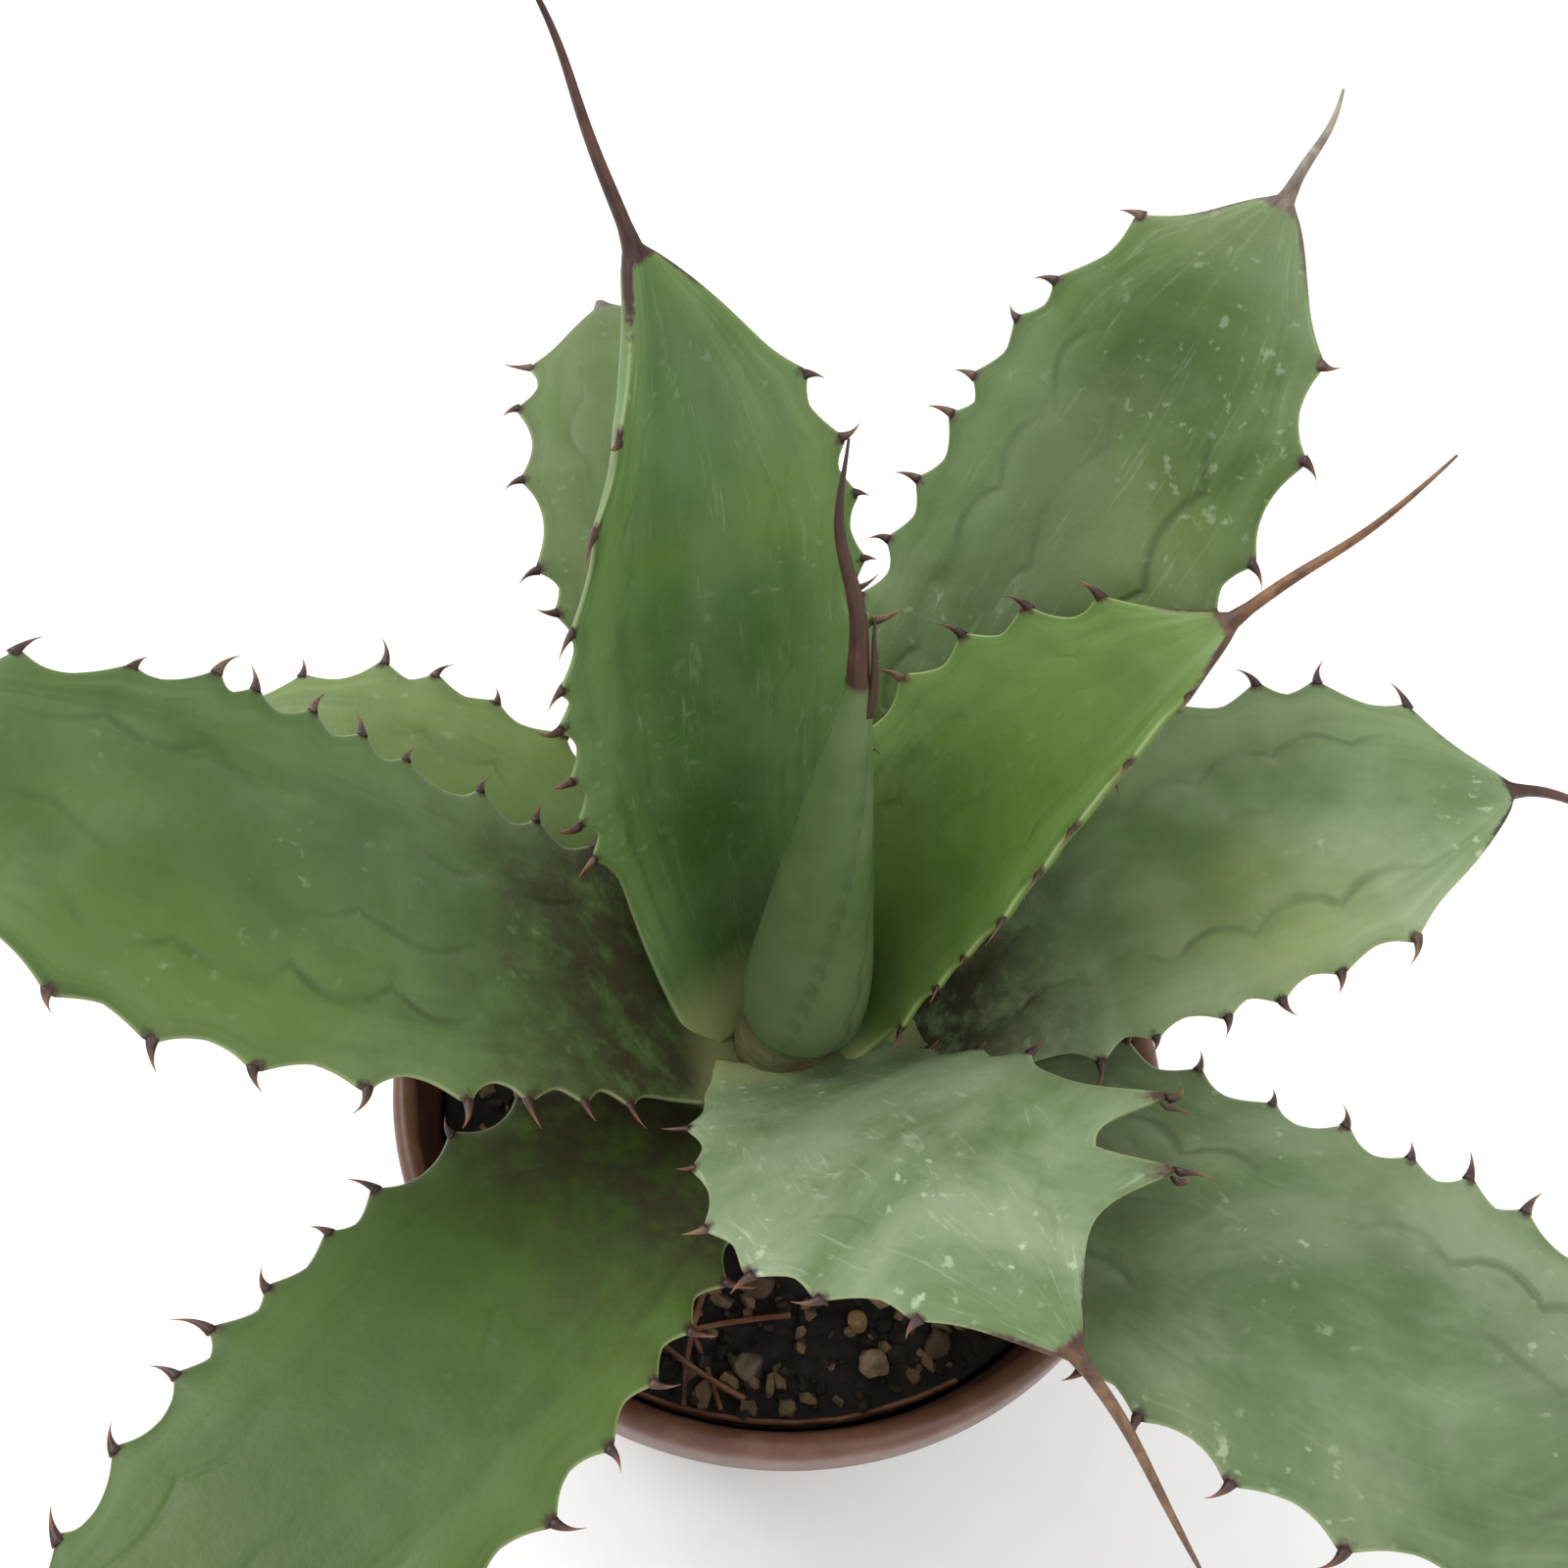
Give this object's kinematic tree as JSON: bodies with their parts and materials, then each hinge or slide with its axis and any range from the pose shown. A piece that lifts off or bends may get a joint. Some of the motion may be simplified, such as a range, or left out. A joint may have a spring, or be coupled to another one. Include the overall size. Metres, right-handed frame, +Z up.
{
  "type": "potted agave",
  "caption": "Small agave rosette with broad toothed leaves and long end spines, growing in a plain round plastic nursery pot of soil.",
  "frame": {"origin": "centre of the pot's flat underside, on the surface that it stands on", "axes": "+Z up along the pot's axis, -Y towards the viewer's side with the open soil and the front leaf, +X to the viewer's right"},
  "size_m": [0.3102, 0.2849, 0.2708],
  "materials": {
    "pot_plastic": "satin brown-red moulded plastic",
    "soil_mix": "rough dark bark and peat mix",
    "stem_bark": "dull pale plant stem",
    "spear_skin": "waxy grey-green leaf skin",
    "leaf_skin": "waxy green leaf skin with a pale bloom",
    "dry_needle": "dry red-brown pine needle",
    "grit_stone": "dusty tan and grey stone"
  },
  "bodies": {
    "root": {"central_spear": "spear_skin", "dry_needle_1": "dry_needle", "dry_needle_2": "dry_needle", "dry_needle_3": "dry_needle", "dry_needle_4": "dry_needle", "dry_needle_5": "dry_needle", "grit_01": "grit_stone", "grit_02": "grit_stone", "grit_03": "grit_stone", "grit_04": "grit_stone", "grit_05": "grit_stone", "grit_06": "grit_stone", "grit_07": "grit_stone", "grit_08": "grit_stone", "grit_09": "grit_stone", "grit_10": "grit_stone", "grit_11": "grit_stone", "grit_12": "grit_stone", "grit_13": "grit_stone", "grit_14": "grit_stone", "grit_15": "grit_stone", "grit_16": "grit_stone", "grit_17": "grit_stone", "grit_18": "grit_stone", "grit_19": "grit_stone", "grit_20": "grit_stone", "grit_21": "grit_stone", "grit_22": "grit_stone", "grit_23": "grit_stone", "grit_24": "grit_stone", "grit_25": "grit_stone", "grit_26": "grit_stone", "leaf_back": "leaf_skin", "leaf_back_left": "leaf_skin", "leaf_front": "leaf_skin", "leaf_left": "leaf_skin", "leaf_lower_left": "leaf_skin", "leaf_lower_right": "leaf_skin", "leaf_right": "leaf_skin", "leaf_upper_right": "leaf_skin", "leaf_upright_left": "leaf_skin", "leaf_upright_right": "leaf_skin", "pot": "pot_plastic", "soil": "soil_mix", "stem": "stem_bark"}
  },
  "joints": []
}
